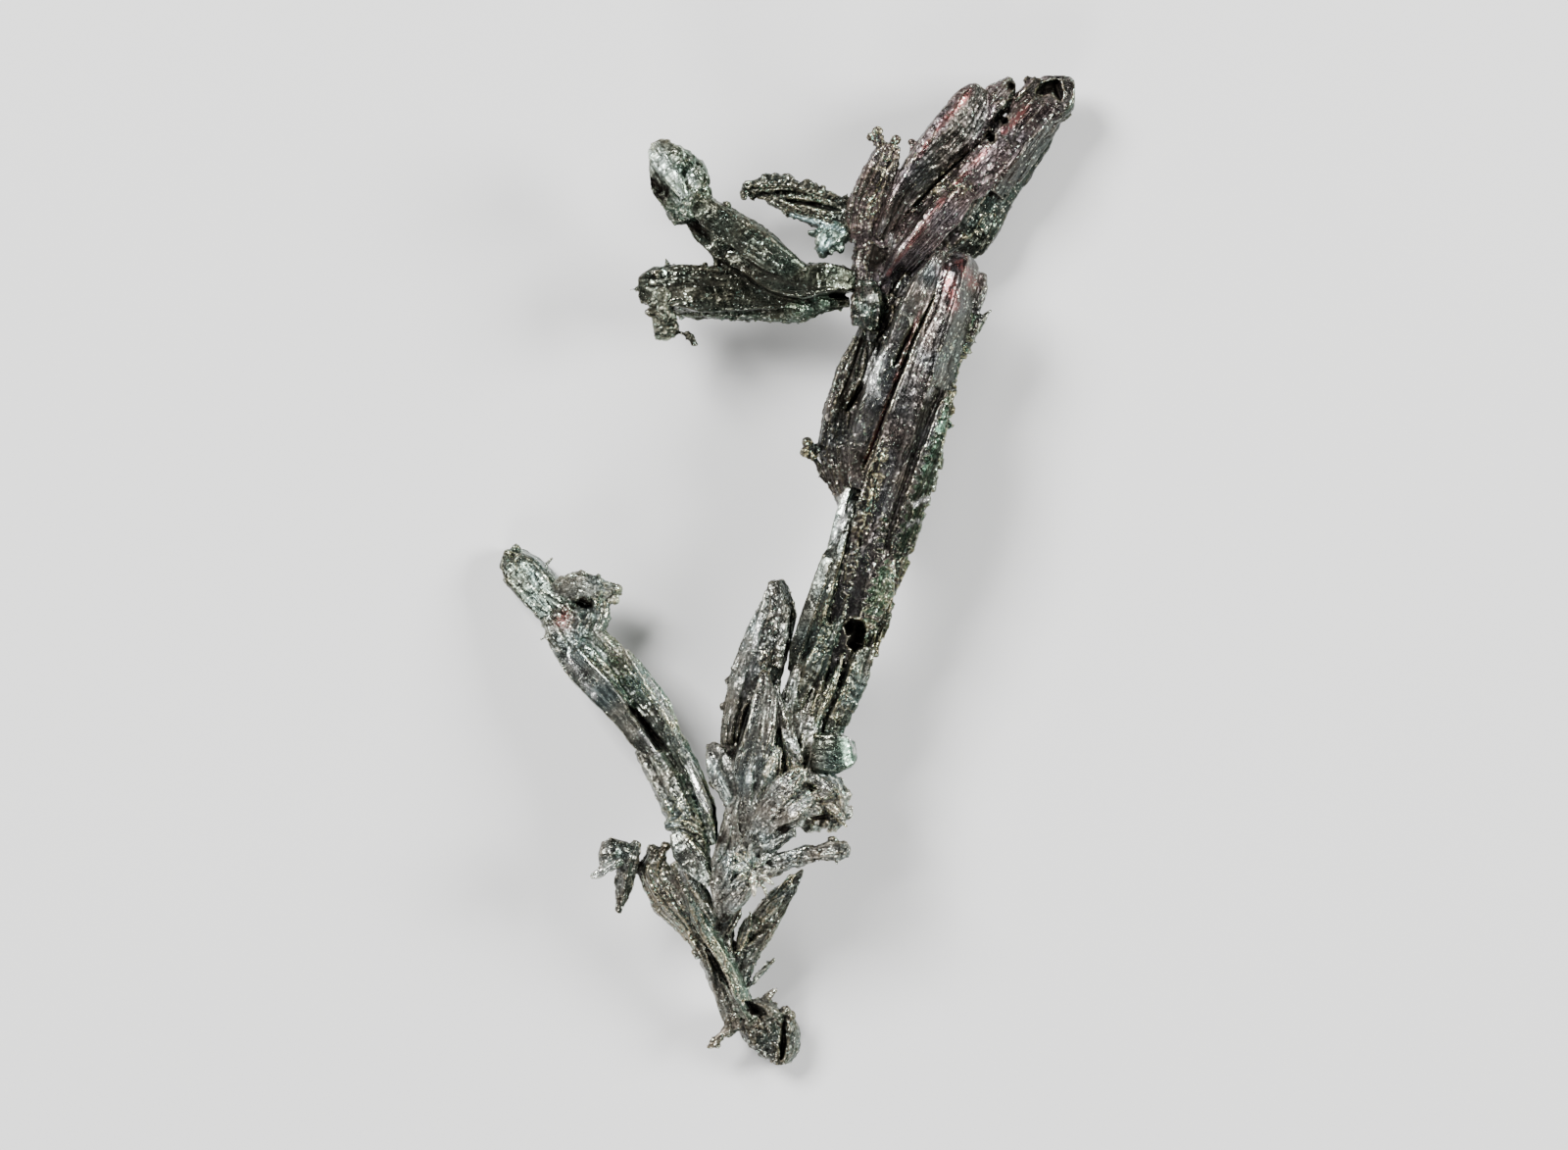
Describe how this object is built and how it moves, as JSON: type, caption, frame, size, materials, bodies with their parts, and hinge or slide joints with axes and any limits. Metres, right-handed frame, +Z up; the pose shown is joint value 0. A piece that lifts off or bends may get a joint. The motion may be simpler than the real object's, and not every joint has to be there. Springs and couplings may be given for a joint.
{
  "type": "dyscrasite crystal group",
  "caption": "Branching group of silver-grey dyscrasite crystals, bladed and striated, lying on its back.",
  "frame": {"origin": "middle of the group's box in X and Y, on the surface that the group lies on", "axes": "+Y along the group from its wedge-shaped foot to its upper fan, +Z up out of the surface, towards the side that is looked at"},
  "size_m": [0.0295, 0.0507, 0.0085],
  "materials": {
    "central_spray": "granular metallic sheen",
    "lower_stem": "granular metallic sheen",
    "left_branch": "granular metallic sheen",
    "main_blade": "striated, slightly tarnished",
    "upper_fan": "striated, slightly tarnished",
    "upper_left_arm": "granular metallic sheen",
    "upper_side_arm": "granular metallic sheen"
  },
  "bodies": {
    "root": {"central_spray": "central_spray", "lower_stem": "lower_stem", "left_branch": "left_branch", "main_blade": "main_blade", "upper_fan": "upper_fan", "upper_left_arm": "upper_left_arm", "upper_side_arm": "upper_side_arm"}
  },
  "joints": []
}
